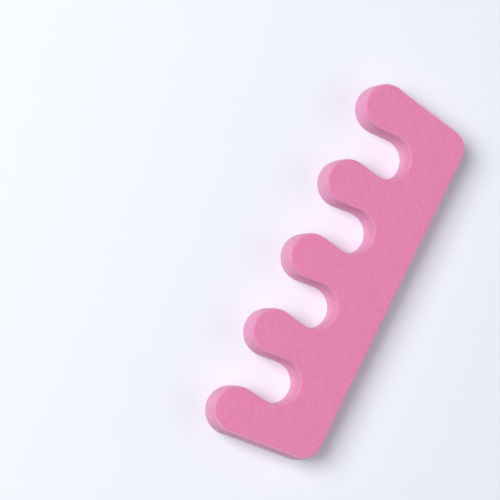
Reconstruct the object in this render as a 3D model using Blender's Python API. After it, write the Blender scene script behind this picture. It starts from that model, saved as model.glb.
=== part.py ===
"""Foam toe separator: one die-cut slab with a straight spine and round-ended fingers.

Run it with blender --background --python part.py, or from Blender's text editor.
Units are metres. The slab lies flat on the plane z = 0 with its spine along X and
its fingers pointing to +Y. The world's origin is under the middle of the slab.
"""
import math

import bmesh
import bpy
from mathutils import Vector

# Plan of the slab
FINGER_COUNT = 5
TOE_PITCH = 0.0222             # from one toe slot's middle to the next
SPINE_WIDTH = 0.0127           # from the back edge to the bottoms of the toe slots
SLOT_RADIUS = 0.00565          # round bottom of each toe slot
TIP_RISE = 0.0068              # from the slots' widest line up to the tips' widest line
TIP_FLARE = 0.00085            # how much a tip stands out past the neck, on each side

# The two end fingers
END_SPREAD = 0.0005            # outwards, past the even pitch
END_TIP_GROWTH = 0.00015       # added to the radius of an inner finger's tip
END_SETBACK = 0.0002           # end tips stop short of the inner tips
END_LEAN = math.radians(7.2)   # the end sides lean outwards towards the tips
END_BULGE = 0.00014            # an end tip stands out past the straight end side
SHOULDER_RADIUS = 0.01515      # hollow blend from the straight end side into the tip
BACK_CORNER_RADIUS = 0.0055    # corners at both ends of the back edge

# Section of the cut wall
THICKNESS = 0.0085
WALL_DRAFT = 0.00031           # the wall curves in by this much from the underside to the top
TOP_EDGE_RADIUS = 0.0006
BOTTOM_EDGE_RADIUS = 0.0003

# Fineness of the mesh
ARC_STEP = math.radians(9.0)
WALL_STEPS = 5
TOP_EDGE_STEPS = 5
BOTTOM_EDGE_STEPS = 3

# Foam
FOAM_COLOUR = (0.775, 0.235, 0.434, 1.0)
FOAM_ROUGHNESS = 0.92

NECK_HALF_WIDTH = TOE_PITCH / 2 - SLOT_RADIUS
TIP_RADIUS = NECK_HALF_WIDTH + TIP_FLARE
END_TIP_RADIUS = TIP_RADIUS + END_TIP_GROWTH
SLOT_LINE = SPINE_WIDTH + SLOT_RADIUS
TIP_LINE = SLOT_LINE + TIP_RISE
SLAB_WIDTH = TIP_LINE + TIP_RADIUS


def clear_scene():
    """Remove every object that the scene already holds."""
    for item in list(bpy.data.objects):
        bpy.data.objects.remove(item, do_unlink=True)


def end_rounds():
    """The rounds of the right end, from the back corner up to the end finger's tip.

    Each round is a centre and a signed radius: positive where the foam lies inside
    the circle, negative where the circle is a hollow in the foam.
    """
    tip_centre = Vector((
        (FINGER_COUNT - 1) / 2 * TOE_PITCH + END_SPREAD,
        SLAB_WIDTH - END_SETBACK - END_TIP_RADIUS,
    ))
    outwards = Vector((math.cos(END_LEAN), -math.sin(END_LEAN)))
    along_side = Vector((math.sin(END_LEAN), math.cos(END_LEAN)))
    side_distance = outwards.dot(tip_centre) + END_TIP_RADIUS - END_BULGE

    hollow_offset = side_distance + SHOULDER_RADIUS - outwards.dot(tip_centre)
    hollow_drop = math.sqrt((END_TIP_RADIUS + SHOULDER_RADIUS) ** 2 - hollow_offset ** 2)
    shoulder_centre = tip_centre + outwards * hollow_offset - along_side * hollow_drop

    corner_x = (side_distance - BACK_CORNER_RADIUS * (1 + outwards.y)) / outwards.x
    corner_centre = Vector((corner_x, BACK_CORNER_RADIUS))
    return [
        (corner_centre, BACK_CORNER_RADIUS),
        (shoulder_centre, -SHOULDER_RADIUS),
        (tip_centre, END_TIP_RADIUS),
    ]


def outline_rounds():
    """Every round of the outline, counter-clockwise from the back edge's right corner."""
    right_end = end_rounds()
    rounds = list(right_end)
    for index in range(FINGER_COUNT - 1):
        slot_x = ((FINGER_COUNT - 2) / 2 - index) * TOE_PITCH
        rounds.append((Vector((slot_x, SLOT_LINE)), -SLOT_RADIUS))
        if index < FINGER_COUNT - 2:
            tip_x = slot_x - TOE_PITCH / 2
            rounds.append((Vector((tip_x, TIP_LINE)), TIP_RADIUS))
    for centre, radius in reversed(right_end):
        rounds.append((Vector((-centre.x, centre.y)), radius))
    return rounds


def tangent_normal(start, end):
    """Outward normal of the straight line that touches both rounds."""
    span = end[0] - start[0]
    distance = span.length
    ahead = span / distance
    outward = Vector((ahead.y, -ahead.x))
    lean = max(-1.0, min(1.0, (start[1] - end[1]) / distance))
    return ahead * lean + outward * math.sqrt(1.0 - lean * lean)


def outline_normals():
    """Points of the outline as (round centre, signed radius, direction from the centre)."""
    rounds = outline_rounds()
    samples = []
    for index, (centre, radius) in enumerate(rounds):
        before = tangent_normal(rounds[index - 1], rounds[index])
        after = tangent_normal(rounds[index], rounds[(index + 1) % len(rounds)])
        first = math.atan2(before.y, before.x)
        sweep = math.atan2(after.y, after.x) - first
        turn = math.copysign(math.tau, radius)
        if sweep * turn < 0:
            sweep += turn
        steps = max(2, math.ceil(abs(sweep) / ARC_STEP))
        for step in range(steps + 1):
            angle = first + sweep * step / steps
            samples.append((centre, radius, Vector((math.cos(angle), math.sin(angle)))))
    return samples


def ring_points(samples, inset, height):
    """The outline drawn in by inset, at one height; touching rounds share one point."""
    points = []
    for centre, radius, direction in samples:
        flat = centre + direction * (radius - inset)
        point = Vector((flat.x, flat.y, height))
        if not points or (point - points[-1]).length > 1e-6:
            points.append(point)
    return points


def wall_inset(height):
    """How far the cut wall stands in from the plan outline at a height."""
    return WALL_DRAFT * (height / THICKNESS) ** 2


def wall_section():
    """The wall's section from the underside to the top, as (inset, height)."""
    section = []
    for step in range(BOTTOM_EDGE_STEPS):
        turn = math.radians(90) * step / BOTTOM_EDGE_STEPS
        height = BOTTOM_EDGE_RADIUS * (1.0 - math.cos(turn))
        rounding = BOTTOM_EDGE_RADIUS * (1.0 - math.sin(turn))
        section.append((wall_inset(height) + rounding, height))
    straight = THICKNESS - TOP_EDGE_RADIUS - BOTTOM_EDGE_RADIUS
    for step in range(WALL_STEPS + 1):
        height = BOTTOM_EDGE_RADIUS + straight * step / WALL_STEPS
        section.append((wall_inset(height), height))
    for step in range(1, TOP_EDGE_STEPS + 1):
        turn = math.radians(90) * step / TOP_EDGE_STEPS
        height = THICKNESS - TOP_EDGE_RADIUS * (1.0 - math.sin(turn))
        rounding = TOP_EDGE_RADIUS * (1.0 - math.cos(turn))
        section.append((wall_inset(height) + rounding, height))
    return section


def add_ring(bm, points):
    """A closed loop of edges through the points."""
    verts = [bm.verts.new(point) for point in points]
    return [bm.edges.new((verts[index - 1], verts[index])) for index in range(len(verts))]


def build_slab_mesh():
    """Loft the outline up through the wall's section and close both faces."""
    samples = outline_normals()
    bm = bmesh.new()
    rings = [add_ring(bm, ring_points(samples, inset, height)) for inset, height in wall_section()]
    for lower, upper in zip(rings, rings[1:]):
        bmesh.ops.bridge_loops(bm, edges=lower + upper)
    for face in bm.faces:
        face.smooth = True
    for ring in (rings[0], rings[-1]):
        bmesh.ops.contextual_create(bm, geom=ring)
    bmesh.ops.recalc_face_normals(bm, faces=bm.faces)
    mesh = bpy.data.meshes.new("toe_separator")
    bm.to_mesh(mesh)
    bm.free()
    return mesh


def foam_material():
    """Matt pink closed-cell foam."""
    material = bpy.data.materials.new("foam")
    material.use_nodes = True
    shader = material.node_tree.nodes["Principled BSDF"]
    shader.inputs["Base Color"].default_value = FOAM_COLOUR
    shader.inputs["Roughness"].default_value = FOAM_ROUGHNESS
    shader.inputs["Metallic"].default_value = 0.0
    material.diffuse_color = FOAM_COLOUR
    return material


def build_toe_separator():
    """The slab, with its middle over the world's origin."""
    mesh = build_slab_mesh()
    mesh.materials.append(foam_material())
    slab = bpy.data.objects.new("toe_separator", mesh)
    slab.location = (0.0, -SLAB_WIDTH / 2, 0.0)
    bpy.context.scene.collection.objects.link(slab)
    return slab


def main():
    clear_scene()
    build_toe_separator()


if __name__ == "__main__":
    main()
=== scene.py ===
"""A foam toe separator on a pale table, as a Blender add-on that is run as a script.

Lengths are in metres and the slab lies on the plane z = 0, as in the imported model.
"""
import math

import bmesh
import bpy
from mathutils import Matrix, Vector, noise


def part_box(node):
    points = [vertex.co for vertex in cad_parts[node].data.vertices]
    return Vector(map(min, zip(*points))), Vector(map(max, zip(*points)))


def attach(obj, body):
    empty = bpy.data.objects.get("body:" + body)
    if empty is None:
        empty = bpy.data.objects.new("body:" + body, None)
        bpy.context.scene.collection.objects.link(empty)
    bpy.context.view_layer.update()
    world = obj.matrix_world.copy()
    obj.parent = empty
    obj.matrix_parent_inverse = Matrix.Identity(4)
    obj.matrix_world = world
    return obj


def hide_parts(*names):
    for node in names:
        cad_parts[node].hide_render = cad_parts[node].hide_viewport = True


bl_info = {
    "name": "Foam toe separator",
    "version": (1, 0, 0),
    "blender": (4, 5, 0),
    "location": "3D View > Sidebar > Toe separator",
    "description": "Makes a die-cut foam toe separator and a pale studio table for it",
    "category": "Object",
}

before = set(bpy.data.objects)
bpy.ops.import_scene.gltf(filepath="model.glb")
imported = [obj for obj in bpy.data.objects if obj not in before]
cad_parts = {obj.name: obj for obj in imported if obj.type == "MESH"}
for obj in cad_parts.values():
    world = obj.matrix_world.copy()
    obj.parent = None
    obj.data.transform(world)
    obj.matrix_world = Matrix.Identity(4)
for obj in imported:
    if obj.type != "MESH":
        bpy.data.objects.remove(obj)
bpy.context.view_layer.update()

MM = 0.001
NODE = "toe_separator"
SLAB_LOW, SLAB_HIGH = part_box(NODE)
THICKNESS = SLAB_HIGH.z - SLAB_LOW.z
SENSOR_WIDTH = 36.0  # millimetres, as Blender has it

# Mesh of the slab
WELD = 0.001 * MM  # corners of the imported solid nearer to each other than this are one
FLAT_NORMAL = 0.999  # a flat face has at least this height part in its normal
FLAT_REACH = 0.01 * MM  # a corner this near to the height of a flat face is on it
QUAD_BEND = math.radians(25)  # two triangles of the wall that bend more than this stay apart
QUAD_SKEW = math.radians(40)  # and so do two that make a quad more skewed than this
LONG_EDGE = 1.5  # an edge of the outline longer than this, in steps, is cut up
LEVEL_RISE = 0.1  # an edge that rises by more than this part of its length runs up the wall
GRID_SHIFT = 0.137  # the grid stands this part of a step off the middle of the slab
SNAP = 1e-7  # a corner this near to a cut lies on it
SLIVER = 0.2  # corners of the grid this near to each other, in steps, become one

# Marks on the mesh for the material
CUT_TILT = 0.3  # a normal whose height part is less than 1 by this much is on the cut wall
RIM_TILT = 0.68  # height part of the normal in the middle of a rim with painted highlight
RIM_BAND = 0.3  # from there to both borders of the rim
INNER_HIGHLIGHT = 0.15  # share of painted highlight on a rim in a slot or on a tip, against 1 on the outer edges
OUTER_X = 0.044  # from here on the sides of the end fingers are outer edges
BACKWARD = 0.5  # part of a normal's level length that points backwards at the back edge, or more
SIDEWARD = 0.8  # and sideways at an end

# Texture of the foam
PATCHES = (0.3, 0.7)  # most of the patches' noise lies between these values
HIGHLIGHT_PATCHES = (0.3, 0.6)  # the painted highlight on a rim goes from least to most between these values
HIGHLIGHT_RANGE = (0.4, 1.0)  # least and most painted highlight along a rim
CELLS = (0.0, 0.7)  # from the middle of a cell to its skin, in cell sizes
PORE_SHADE = (0.97, 1.02)  # shade of the foam in the middle of a cell and at its skin
GRAIN = (0.6, 1.3)  # sum of cell and patch from which the skin starts to show, and shows fully
PATCH_BUMP = 0.5  # strength of the patches' relief
CELL_BUMP = 0.6  # strength of the cells' relief


class FoamSettings(bpy.types.PropertyGroup):
    """Sizes and colours of the foam slab."""

    face_colour: bpy.props.FloatVectorProperty(
        name="Face colour", description="Foam on the flat faces",
        subtype="COLOR", size=3, min=0.0, max=1.0, default=(0.768, 0.21, 0.405))
    # Partly the paler tone of cut foam, partly a painted sheen of the walls, which are seen at a low
    # angle
    cut_and_sheen_colour: bpy.props.FloatVectorProperty(
        name="Cut colour", description="Foam at the top of the die-cut walls",
        subtype="COLOR", size=3, min=0.0, max=1.0, default=(0.752, 0.278, 0.481))
    # Painted glow: the cut walls turn paler towards the bottom, for the light that the pale table throws
    # up onto them
    low_cut_and_glow_colour: bpy.props.FloatVectorProperty(
        name="Low cut colour", description="Foam at the bottom of the die-cut walls",
        subtype="COLOR", size=3, min=0.0, max=1.0, default=(0.752, 0.345, 0.537))
    # Painted highlight: a pale line along the rounded rims, strongest on the back and end edges
    rim_highlight_colour: bpy.props.FloatVectorProperty(
        name="Rim colour", description="Rubbed foam along the edges of the faces",
        subtype="COLOR", size=3, min=0.0, max=1.0, default=(0.9, 0.56, 0.72))
    cell_size: bpy.props.FloatProperty(
        name="Cell size", description="Width of the closed cells of the foam",
        unit="LENGTH", default=0.34 * MM, min=0.05 * MM)
    mottle_size: bpy.props.FloatProperty(
        name="Mottle size", description="Width of the patches of lighter and darker foam",
        unit="LENGTH", default=0.75 * MM, min=0.1 * MM)
    mottle: bpy.props.FloatProperty(
        name="Mottle", description="How much lighter and darker the patches are",
        subtype="FACTOR", default=0.03, min=0.0, max=1.0)
    skin_colour: bpy.props.FloatVectorProperty(
        name="Skin colour", description="Thin skin between the cells",
        subtype="COLOR", size=3, min=0.0, max=1.0, default=(0.82, 0.34, 0.54))
    skin: bpy.props.FloatProperty(
        name="Skin", description="How much of the skin's colour shows between the cells",
        subtype="FACTOR", default=0.36, min=0.0, max=1.0)
    patch_depth: bpy.props.FloatProperty(
        name="Patch depth", description="Depth of the shallow patches in the surface",
        unit="LENGTH", default=0.08 * MM, min=0.0)
    cell_depth: bpy.props.FloatProperty(
        name="Cell depth", description="Depth of the cells in the surface",
        unit="LENGTH", default=0.05 * MM, min=0.0)
    roughness: bpy.props.FloatProperty(
        name="Roughness", description="How matt the foam is",
        subtype="FACTOR", default=0.95, min=0.0, max=1.0)
    sheen: bpy.props.FloatProperty(
        name="Sheen", description="Pale bloom on foam that is seen at a low angle",
        subtype="FACTOR", default=0.15, min=0.0, max=1.0)
    sheen_colour: bpy.props.FloatVectorProperty(
        name="Sheen colour", description="Colour of the bloom",
        subtype="COLOR", size=3, min=0.0, max=1.0, default=(1.0, 0.9, 0.97))
    grid_step: bpy.props.FloatProperty(
        name="Grid step", description="Spacing of the mesh across the flat faces",
        unit="LENGTH", default=1.0 * MM, min=0.3 * MM)
    margin: bpy.props.FloatProperty(
        name="Margin", description="Even band of mesh inside the edge of each flat face",
        unit="LENGTH", default=0.7 * MM, min=0.1 * MM)
    face_swell: bpy.props.FloatProperty(
        name="Face swell", description="Broad unevenness of the upper face",
        unit="LENGTH", default=0.05 * MM)
    face_wave: bpy.props.FloatProperty(
        name="Face wave", description="Distance between swells of the upper face",
        unit="LENGTH", default=14.0 * MM, min=1.0 * MM)
    wall_swell: bpy.props.FloatProperty(
        name="Wall swell", description="Unevenness of the cut walls",
        unit="LENGTH", default=0.05 * MM)
    wall_wave: bpy.props.FloatProperty(
        name="Wall wave", description="Distance between swells of the cut walls",
        unit="LENGTH", default=5.0 * MM, min=1.0 * MM)


class StageSettings(bpy.types.PropertyGroup):
    """Table, lights and camera."""

    table_colour: bpy.props.FloatVectorProperty(
        name="Table colour", description="Plain pale table",
        subtype="COLOR", size=3, min=0.0, max=1.0, default=(0.89, 0.918, 0.988))
    table_size: bpy.props.FloatProperty(
        name="Table size", description="Width of the square table", unit="LENGTH", default=3.0)
    fade_start: bpy.props.FloatProperty(
        name="Fade start", description="From here on the table turns into the backdrop",
        unit="LENGTH", default=0.25, min=0.0)
    fade_end: bpy.props.FloatProperty(
        name="Fade end", description="From here on only the backdrop is seen",
        unit="LENGTH", default=0.8, min=0.0)
    high_place: bpy.props.FloatVectorProperty(
        name="High place", description="Middle of the wide soft lamp above the slab",
        subtype="TRANSLATION", size=3, default=(0.0, 0.05, 1.0))
    high_size: bpy.props.FloatProperty(
        name="High size", description="Width of the high lamp", unit="LENGTH", default=0.8, min=0.01)
    high_power: bpy.props.FloatProperty(
        name="High power", description="Power of the high lamp", unit="POWER", default=1.66, min=0.0)
    front_place: bpy.props.FloatVectorProperty(
        name="Front place", description="Middle of the wide soft lamp in front of the fingers",
        subtype="TRANSLATION", size=3, default=(-0.09, 0.66, 0.75))
    front_size: bpy.props.FloatProperty(
        name="Front size", description="Width of the front lamp", unit="LENGTH", default=0.6, min=0.01)
    front_power: bpy.props.FloatProperty(
        name="Front power", description="Power of the front lamp", unit="POWER", default=8.25, min=0.0)
    side_place: bpy.props.FloatVectorProperty(
        name="Side place", description="Middle of the far soft lamp, on the -X side of the fingers",
        subtype="TRANSLATION", size=3, default=(-0.6, 0.86, 1.16))
    side_size: bpy.props.FloatProperty(
        name="Side size", description="Width of the side lamp", unit="LENGTH", default=1.0, min=0.01)
    side_power: bpy.props.FloatProperty(
        name="Side power", description="Power of the side lamp", unit="POWER", default=3.77, min=0.0)
    back_place: bpy.props.FloatVectorProperty(
        name="Back place", description="Middle of the wide soft lamp behind the straight edge",
        subtype="TRANSLATION", size=3, default=(0.3, -0.9, 0.5))
    back_size: bpy.props.FloatProperty(
        name="Back size", description="Width of the back lamp", unit="LENGTH", default=1.2, min=0.01)
    back_power: bpy.props.FloatProperty(
        name="Back power", description="Power of the back lamp", unit="POWER", default=4.85, min=0.0)
    fill_strength: bpy.props.FloatProperty(
        name="Fill strength", description="Even light from all around", default=0.03, min=0.0)
    backdrop_colour: bpy.props.FloatVectorProperty(
        name="Backdrop colour", description="What is seen past the table",
        subtype="COLOR", size=3, min=0.0, max=1.0, default=(0.88, 0.89, 0.96))
    camera_aim: bpy.props.FloatVectorProperty(
        name="Camera aim", description="Point at the middle of the picture",
        subtype="TRANSLATION", size=3, default=(-6.58 * MM, 24.99 * MM, 8.5 * MM))
    camera_distance: bpy.props.FloatProperty(
        name="Camera distance", description="From the aim to the camera", unit="LENGTH", default=0.6635)
    camera_elevation: bpy.props.FloatProperty(
        name="Camera elevation", description="Angle of the camera over the table",
        unit="ROTATION", default=math.radians(74.02))
    camera_azimuth: bpy.props.FloatProperty(
        name="Camera azimuth", description="Direction of the camera, from +X towards +Y",
        unit="ROTATION", default=math.radians(130.6))
    camera_roll: bpy.props.FloatProperty(
        name="Camera roll", description="Turn of the camera about its own view",
        unit="ROTATION", default=math.radians(77.17))
    lens: bpy.props.FloatProperty(
        name="Lens", description="Focal length on a 36 mm sensor", default=184.5, min=1.0)


def link_object(name, data):
    """A new object in the scene's own collection."""
    made = bpy.data.objects.new(name, data)
    bpy.context.scene.collection.objects.link(made)
    return made


def open_walls(bm):
    """Take off both flat faces and leave the cut wall as quads."""
    level = [f for f in bm.faces if abs(f.normal.z) > FLAT_NORMAL]
    flats = [f for f in level if is_on_flat(f.calc_center_median().z)]
    bmesh.ops.delete(bm, geom=flats, context="FACES")
    bmesh.ops.join_triangles(
        bm, faces=bm.faces, angle_face_threshold=QUAD_BEND, angle_shape_threshold=QUAD_SKEW)


def is_on_flat(height):
    """Whether a height is that of the underside or of the upper face."""
    return min(height, THICKNESS - height) < FLAT_REACH


def refine_straights(bm, step):
    """Give the straight stretches of the outline as many corners as the round ones."""
    by_cuts = {}
    for edge in bm.edges:
        length = edge.calc_length()
        rise = abs(edge.verts[0].co.z - edge.verts[1].co.z)
        if length > LONG_EDGE * step and rise < LEVEL_RISE * length:
            by_cuts.setdefault(round(length / step) - 1, []).append(edge)
    for cuts, edges in sorted(by_cuts.items()):
        bmesh.ops.subdivide_edges(bm, edges=edges, cuts=cuts, use_grid_fill=True)


def close_faces(bm):
    """Fill the underside and the upper face with one polygon each."""
    rims = [e for e in bm.edges if e.is_boundary]
    faces = []
    for upper in (False, True):
        rim = [e for e in rims if (e.verts[0].co.z > THICKNESS / 2) == upper]
        faces += bmesh.ops.contextual_create(bm, geom=rim)["faces"]
    bmesh.ops.recalc_face_normals(bm, faces=bm.faces)
    return faces


def cut_into_grid(bm, faces, step):
    """Cut flat polygons into squares with upright planes along X and Y."""
    pieces = set(faces)
    for axis in (0, 1):
        low = math.ceil(SLAB_LOW[axis] / step)
        high = math.floor(SLAB_HIGH[axis] / step)
        for index in range(low, high + 1):
            normal = Vector((0.0, 0.0, 0.0))
            normal[axis] = 1.0
            at = normal * (index * step + GRID_SHIFT * step)
            crossed = [f for f in pieces if f.is_valid and straddles(f, axis, at[axis])]
            geom = set(crossed)
            for face in crossed:
                geom.update(face.edges)
                geom.update(face.verts)
            if not geom:
                continue
            made = bmesh.ops.bisect_plane(bm, geom=list(geom), dist=SNAP, plane_co=at, plane_no=normal)
            pieces.difference_update(crossed)
            pieces.update(g for g in made["geom"] if isinstance(g, bmesh.types.BMFace))
    return pieces


def straddles(face, axis, place):
    """Whether a face has corners on both sides of a place on an axis."""
    sides = [v.co[axis] > place for v in face.verts]
    return any(sides) and not all(sides)


def make_uneven(bm, foam):
    """Let the upper face swell softly up and down, and the cut wall in and out."""
    bm.normal_update()
    for vert in bm.verts:
        across = Vector((vert.normal.x, vert.normal.y, 0.0))
        wall = foam.wall_swell * noise.noise(vert.co / foam.wall_wave)
        face = foam.face_swell * noise.noise(vert.co / foam.face_wave)
        vert.co += across * wall
        vert.co.z += max(vert.normal.z, 0.0) * face


def mark_edges(bm):
    """Note on each corner how far it is cut wall, and how much painted highlight it gets as the rim of a
    face.
    """
    cut = bm.verts.layers.float.new("cut")
    rim = bm.verts.layers.float.new("rim")
    bm.normal_update()
    for vert in bm.verts:
        upright = abs(vert.normal.z)
        vert[cut] = min(1.0, (1.0 - upright) / CUT_TILT)
        # Painted highlight: full on the back and end edges, faint on the rims in the slots and on the
        # tips
        highlight = 1.0 if is_outer(vert) else INNER_HIGHLIGHT
        vert[rim] = highlight * max(0.0, 1.0 - abs(upright - RIM_TILT) / RIM_BAND)


def is_outer(vert):
    """Whether a corner of the mesh faces backwards, or sideways at either end of the slab."""
    across = vert.normal.xy.length
    at_back = vert.normal.y < -BACKWARD * across
    at_end = abs(vert.co.x) > OUTER_X and abs(vert.normal.x) > SIDEWARD * across
    return at_back or at_end


def slab_mesh(foam):
    """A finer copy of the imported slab, with even squares on both faces."""
    bm = bmesh.new()
    bm.from_mesh(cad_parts[NODE].data)
    bmesh.ops.remove_doubles(bm, verts=bm.verts, dist=WELD)
    open_walls(bm)
    refine_straights(bm, foam.grid_step)
    faces = close_faces(bm)
    bmesh.ops.inset_individual(bm, faces=faces, thickness=foam.margin, use_even_offset=True)
    squares = cut_into_grid(bm, faces, foam.grid_step)
    corners = {corner for face in squares for corner in face.verts}
    corners = sorted(corners, key=lambda corner: tuple(corner.co))
    bmesh.ops.remove_doubles(bm, verts=corners, dist=SLIVER * foam.grid_step)
    mark_edges(bm)
    make_uneven(bm, foam)
    for face in bm.faces:
        face.smooth = True
    mesh = bpy.data.meshes.new("foam_slab")
    bm.to_mesh(mesh)
    bm.free()
    return mesh


def add_node(tree, kind, inputs, **settings):
    """A new node with its settings. An input that is given another node's output is linked to it."""
    node = tree.nodes.new(kind)
    for name, value in settings.items():
        setattr(node, name, value)
    for name, value in inputs.items():
        if isinstance(value, bpy.types.NodeSocket):
            tree.links.new(value, node.inputs[name])
        else:
            node.inputs[name].default_value = value
    return node


def combined(tree, operation, first, second):
    """Two numbers put together by a maths node."""
    return add_node(tree, "ShaderNodeMath", {0: first, 1: second}, operation=operation).outputs["Value"]


def remapped(tree, value, source, target=(0.0, 1.0), **settings):
    """A number taken from its source range to the target range, and kept inside that."""
    inputs = {
        "Value": value, "From Min": source[0], "From Max": source[1],
        "To Min": target[0], "To Max": target[1]}
    return add_node(tree, "ShaderNodeMapRange", inputs, **settings).outputs["Result"]


def mixed_colour(tree, share, first, second):
    """The first colour with a share of the second. Each is a plain colour or a node's output."""
    inputs = {"Factor": share}
    for place, colour in ((6, first), (7, second)):
        inputs[place] = colour if isinstance(colour, bpy.types.NodeSocket) else (*colour, 1.0)
    return add_node(tree, "ShaderNodeMix", inputs, data_type="RGBA").outputs[2]


def seen_rays(tree):
    """1 for the rays that show a surface to the camera, also by reflection, and 0 for lighting."""
    ray = tree.nodes.new("ShaderNodeLightPath")
    seen = combined(tree, "MAXIMUM", ray.outputs["Is Camera Ray"], ray.outputs["Is Glossy Ray"])
    return combined(tree, "MAXIMUM", seen, ray.outputs["Is Transmission Ray"])


def foam_colour(tree, foam, place, mottle, cells):
    """Colour of the foam: face, paler cut wall with partly painted sheen and a painted glow low down,
    and painted highlight on the rims, with patches and cells over them.
    """
    cut = add_node(tree, "ShaderNodeAttribute", {}, attribute_name="cut").outputs["Fac"]
    rim = add_node(tree, "ShaderNodeAttribute", {}, attribute_name="rim").outputs["Fac"]
    height = add_node(tree, "ShaderNodeSeparateXYZ", {"Vector": place}).outputs["Z"]
    # Painted glow: the wall colour goes from the paler bottom colour to the top one with height
    rise = remapped(tree, height, (0.0, THICKNESS))
    wall = mixed_colour(tree, rise, foam.low_cut_and_glow_colour, foam.cut_and_sheen_colour)
    body = mixed_colour(tree, cut, foam.face_colour, wall)
    # Painted highlight along the rims, patchy along their length
    highlighted = combined(tree, "MULTIPLY", rim, remapped(tree, mottle, HIGHLIGHT_PATCHES, HIGHLIGHT_RANGE))
    edged = mixed_colour(tree, highlighted, body, foam.rim_highlight_colour)

    patches = remapped(tree, mottle, PATCHES, (1.0 - foam.mottle, 1.0 + foam.mottle))
    pores = remapped(tree, cells, CELLS, PORE_SHADE)
    shade = combined(tree, "MULTIPLY", patches, pores)
    shaded = add_node(
        tree, "ShaderNodeVectorMath",
        {"Vector": edged, "Scale": shade}, operation="SCALE").outputs["Vector"]
    skin = remapped(tree, combined(tree, "ADD", cells, mottle), GRAIN, (0.0, foam.skin))
    return mixed_colour(tree, skin, shaded, foam.skin_colour)


def foam_relief(tree, foam, mottle, cells):
    """Normal of a surface with shallow patches and fine cells."""
    patched = add_node(
        tree, "ShaderNodeBump",
        {"Height": mottle, "Strength": PATCH_BUMP, "Distance": foam.patch_depth}).outputs["Normal"]
    return add_node(
        tree, "ShaderNodeBump",
        {"Height": cells, "Strength": CELL_BUMP, "Distance": foam.cell_depth,
         "Normal": patched}).outputs["Normal"]


def foam_material(foam):
    """Matt fine-celled foam, paler on the cut walls partly by painted sheen, with a painted glow low
    down on them and a painted highlight along the rims.
    """
    material = bpy.data.materials.new("foam")
    material.use_nodes = True
    tree = material.node_tree
    place = tree.nodes.new("ShaderNodeTexCoord").outputs["Object"]
    mottle = add_node(
        tree, "ShaderNodeTexNoise",
        {"Vector": place, "Scale": 1.0 / foam.mottle_size,
         "Detail": 3.0, "Roughness": 0.6}).outputs["Fac"]
    cells = add_node(
        tree, "ShaderNodeTexVoronoi",
        {"Vector": place, "Scale": 1.0 / foam.cell_size}).outputs["Distance"]

    shader = tree.nodes["Principled BSDF"]
    tree.links.new(foam_colour(tree, foam, place, mottle, cells), shader.inputs["Base Color"])
    tree.links.new(foam_relief(tree, foam, mottle, cells), shader.inputs["Normal"])
    shader.inputs["Roughness"].default_value = foam.roughness
    shader.inputs["Specular IOR Level"].default_value = 0.2
    shader.inputs["Sheen Weight"].default_value = foam.sheen
    shader.inputs["Sheen Roughness"].default_value = 0.5
    shader.inputs["Sheen Tint"].default_value = (*foam.sheen_colour, 1.0)
    return material


class OBJECT_OT_toe_separator_foam(bpy.types.Operator):
    """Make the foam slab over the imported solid"""

    bl_idname = "object.toe_separator_foam"
    bl_label = "Foam slab"

    def execute(self, context):
        foam = context.scene.toe_separator_foam
        slab = link_object("foam_slab", slab_mesh(foam))
        slab.data.materials.append(foam_material(foam))
        subdivision = slab.modifiers.new("Subdivision", "SUBSURF")
        subdivision.levels = 1
        subdivision.render_levels = 1
        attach(slab, "root")
        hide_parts(NODE)
        return {"FINISHED"}


def direction(azimuth, elevation):
    """Unit vector towards an azimuth, from +X towards +Y, and an elevation."""
    flat = math.cos(elevation)
    return Vector((flat * math.cos(azimuth), flat * math.sin(azimuth), math.sin(elevation)))


def facing(back, roll=0.0):
    """Rotation of a lamp or camera whose back points along back."""
    return back.to_track_quat("Z", "Y").to_matrix().to_4x4() @ Matrix.Rotation(roll, 4, "Z")


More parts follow.
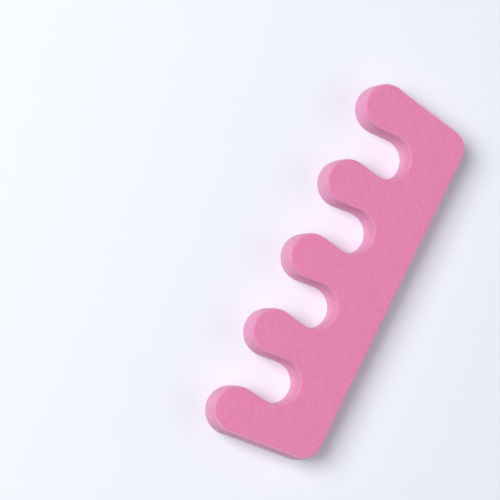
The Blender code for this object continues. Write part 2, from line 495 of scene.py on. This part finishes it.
class SCENE_OT_toe_separator_stage(bpy.types.Operator):
    """Make the table, the lights and the camera"""

    bl_idname = "scene.toe_separator_stage"
    bl_label = "Stage"

    def execute(self, context):
        stage = context.scene.toe_separator_stage
        self.make_table(stage)
        self.make_lights(stage)
        self.make_camera(stage)
        context.scene.view_settings.view_transform = "Standard"
        return {"FINISHED"}

    def make_table(self, stage):
        """A flat table at the height of the slab's underside."""
        bm = bmesh.new()
        bmesh.ops.create_grid(bm, x_segments=1, y_segments=1, size=stage.table_size / 2)
        mesh = bpy.data.meshes.new("table")
        bm.to_mesh(mesh)
        bm.free()
        mesh.materials.append(self.table_material(stage))
        table = link_object("table", mesh)

    def table_material(self, stage):
        """Plain matt table that turns into the pale backdrop far from the slab."""
        material = bpy.data.materials.new("table")
        material.use_nodes = True
        tree = material.node_tree
        shader = tree.nodes["Principled BSDF"]
        shader.inputs["Base Color"].default_value = (*stage.table_colour, 1.0)
        shader.inputs["Roughness"].default_value = 0.8
        shader.inputs["Specular IOR Level"].default_value = 0.1
        place = tree.nodes.new("ShaderNodeTexCoord").outputs["Object"]
        away = add_node(tree, "ShaderNodeVectorMath", {0: place}, operation="LENGTH").outputs["Value"]
        fade = remapped(
            tree, away, (stage.fade_start, stage.fade_end), interpolation_type="SMOOTHSTEP")
        part = combined(tree, "MULTIPLY", fade, seen_rays(tree))
        glow = add_node(
            tree, "ShaderNodeEmission", {"Color": (*stage.backdrop_colour, 1.0)}).outputs["Emission"]
        mixed = add_node(
            tree, "ShaderNodeMixShader", {0: part, 1: shader.outputs["BSDF"], 2: glow}).outputs["Shader"]
        tree.links.new(mixed, tree.nodes["Material Output"].inputs["Surface"])
        return material

    def make_lights(self, stage):
        """Four soft lamps and the backdrop."""
        self.add_lamp("high", stage.high_place, stage.high_size, stage.high_power)
        self.add_lamp("front", stage.front_place, stage.front_size, stage.front_power)
        self.add_lamp("side", stage.side_place, stage.side_size, stage.side_power)
        self.add_lamp("back", stage.back_place, stage.back_size, stage.back_power)
        bpy.context.scene.world = self.make_backdrop(stage)

    def make_backdrop(self, stage):
        """A pale backdrop that adds no more than the even fill to the light on the slab."""
        world = bpy.data.worlds.new("backdrop")
        world.use_nodes = True
        tree = world.node_tree
        seen = seen_rays(tree)
        colour = mixed_colour(tree, seen, (1.0, 1.0, 1.0), stage.backdrop_colour)
        strength = remapped(tree, seen, (0.0, 1.0), (stage.fill_strength, 1.0))
        background = tree.nodes["Background"]
        tree.links.new(colour, background.inputs["Color"])
        tree.links.new(strength, background.inputs["Strength"])
        return world

    def add_lamp(self, name, place, size, power):
        """A square soft lamp that faces the slab."""
        lamp = bpy.data.lights.new(name, "AREA")
        lamp.shape = "SQUARE"
        lamp.size = size
        lamp.energy = power
        place = Vector(place)
        link_object(name, lamp).matrix_world = Matrix.Translation(place) @ facing(place)

    def make_camera(self, stage):
        """The camera, turned about its own view as far as the roll says."""
        back = direction(stage.camera_azimuth, stage.camera_elevation)
        data = bpy.data.cameras.new("camera")
        data.sensor_width = SENSOR_WIDTH
        data.lens = stage.lens
        data.clip_start = 0.01
        camera = link_object("camera", data)
        place = Vector(stage.camera_aim) + back * stage.camera_distance
        camera.matrix_world = Matrix.Translation(place) @ facing(back, stage.camera_roll)
        bpy.context.scene.camera = camera


class VIEW3D_PT_toe_separator(bpy.types.Panel):
    """Buttons and sizes in the sidebar"""

    bl_label = "Toe separator"
    bl_idname = "VIEW3D_PT_toe_separator"
    bl_space_type = "VIEW_3D"
    bl_region_type = "UI"
    bl_category = "Toe separator"

    def draw(self, context):
        """One box for the slab and one for the stage, with their sizes and a button."""
        layout = self.layout
        for owner, operator in (
            (context.scene.toe_separator_foam, OBJECT_OT_toe_separator_foam),
            (context.scene.toe_separator_stage, SCENE_OT_toe_separator_stage),
        ):
            box = layout.box()
            for name in owner.__annotations__:
                box.prop(owner, name)
            box.operator(operator.bl_idname)


CLASSES = (
    FoamSettings,
    StageSettings,
    OBJECT_OT_toe_separator_foam,
    SCENE_OT_toe_separator_stage,
    VIEW3D_PT_toe_separator,
)


def register():
    """Add the settings, the operators and the panel to Blender."""
    for item in CLASSES:
        bpy.utils.register_class(item)
    bpy.types.Scene.toe_separator_foam = bpy.props.PointerProperty(type=FoamSettings)
    bpy.types.Scene.toe_separator_stage = bpy.props.PointerProperty(type=StageSettings)


def unregister():
    """Take the settings, the operators and the panel out of Blender again."""
    del bpy.types.Scene.toe_separator_stage
    del bpy.types.Scene.toe_separator_foam
    for item in reversed(CLASSES):
        bpy.utils.unregister_class(item)


def main():
    """Make the slab and its stage."""
    register()
    bpy.ops.object.toe_separator_foam()
    bpy.ops.scene.toe_separator_stage()


if __name__ == "__main__":
    main()
